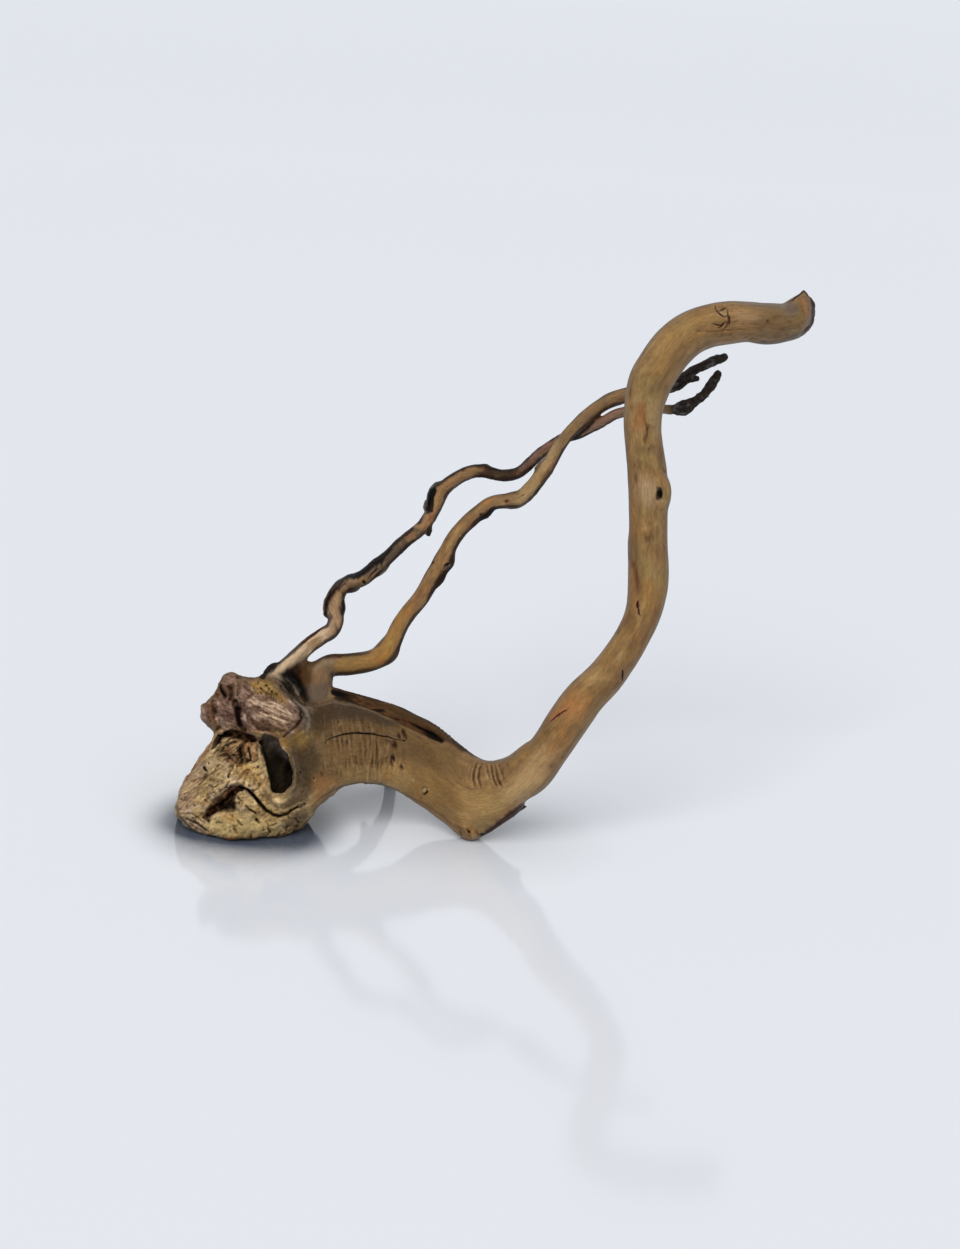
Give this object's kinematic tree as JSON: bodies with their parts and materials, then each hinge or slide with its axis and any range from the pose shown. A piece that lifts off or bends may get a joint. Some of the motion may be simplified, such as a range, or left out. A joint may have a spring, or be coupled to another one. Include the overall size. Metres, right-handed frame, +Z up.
{
  "type": "dry root",
  "caption": "Standing debarked dry root: torn burl, arched slab and elbow, a stem that climbs to a hooked torn end, and thin branches crossing behind it.",
  "frame": {"origin": "middle of the burl's flat foot, on the surface that the root stands on", "axes": "+Z up; +X from the burl towards the hooked end of the stem; +Y towards the back, the way the stem and branches lean"},
  "size_m": [0.4337, 0.2165, 0.3745],
  "materials": {
    "root_wood": "matt, weathered, debarked"
  },
  "bodies": {
    "root": {"dry_root": "root_wood"}
  },
  "joints": []
}
